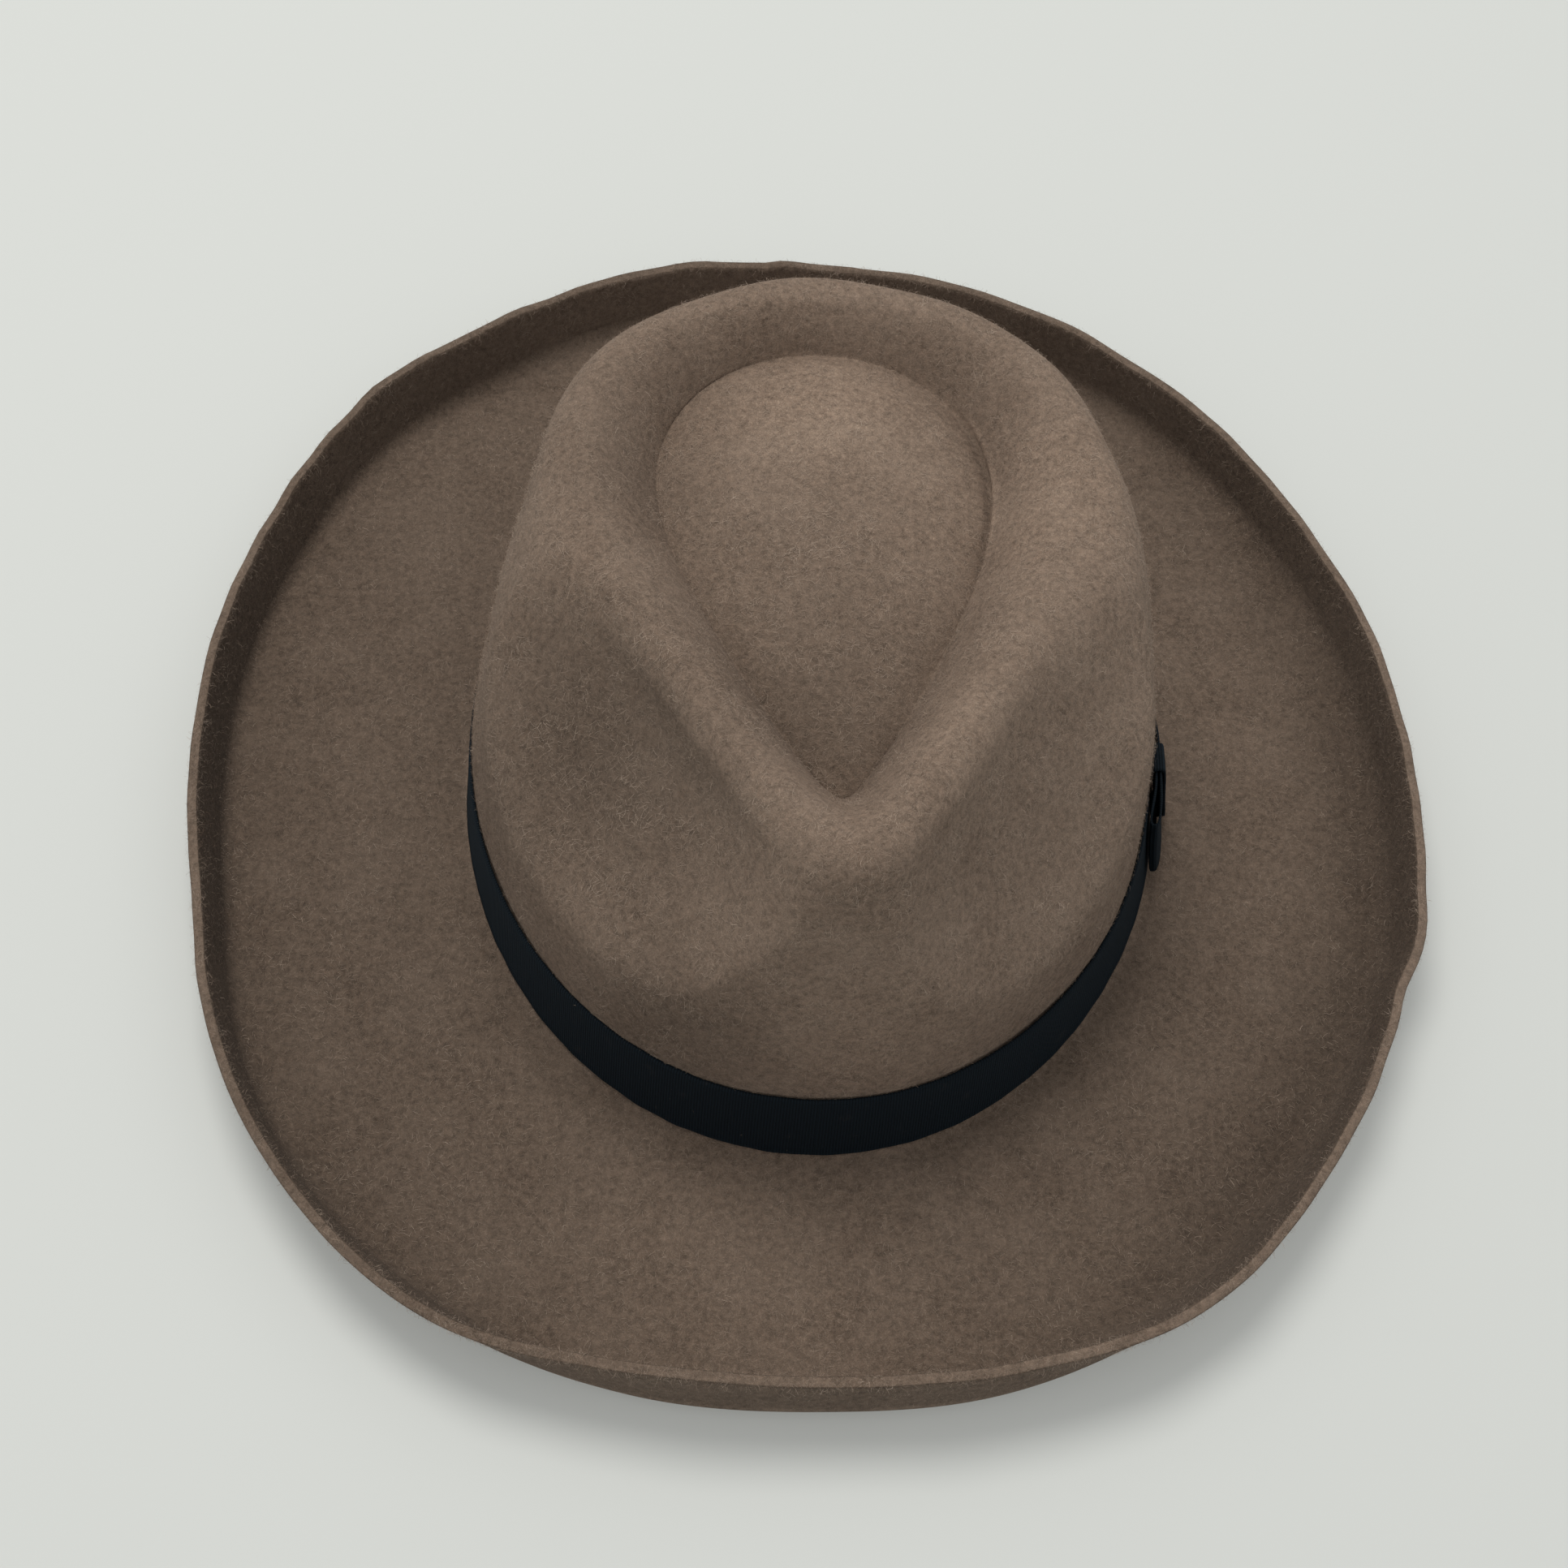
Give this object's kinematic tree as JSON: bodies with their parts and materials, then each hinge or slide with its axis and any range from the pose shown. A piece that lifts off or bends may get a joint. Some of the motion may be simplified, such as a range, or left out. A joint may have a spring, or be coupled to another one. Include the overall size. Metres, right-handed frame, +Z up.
{
  "type": "wide-brim fedora",
  "caption": "Wide-brim felt fedora with a teardrop crown dent, front pinches, an upturned raw-cut brim lip, a ribbon band and a flat side bow.",
  "frame": {"origin": "centre of the bounding box on the plane that the flat of the brim rests on", "axes": "+Z up through the crown, -Y towards the front of the hat, +X towards the wearer's left, where the bow is"},
  "size_m": [0.315, 0.3434, 0.109],
  "materials": {
    "felt": "brown wool felt, short directional nap, raw-cut edge",
    "ribbon": "matte black grosgrain ribbon with fine cross ribs"
  },
  "bodies": {
    "root": {"felt_body": "felt", "ribbon_band": "ribbon", "bow_front_loop": "ribbon", "bow_back_loop": "ribbon", "bow_knot": "ribbon"}
  },
  "joints": []
}
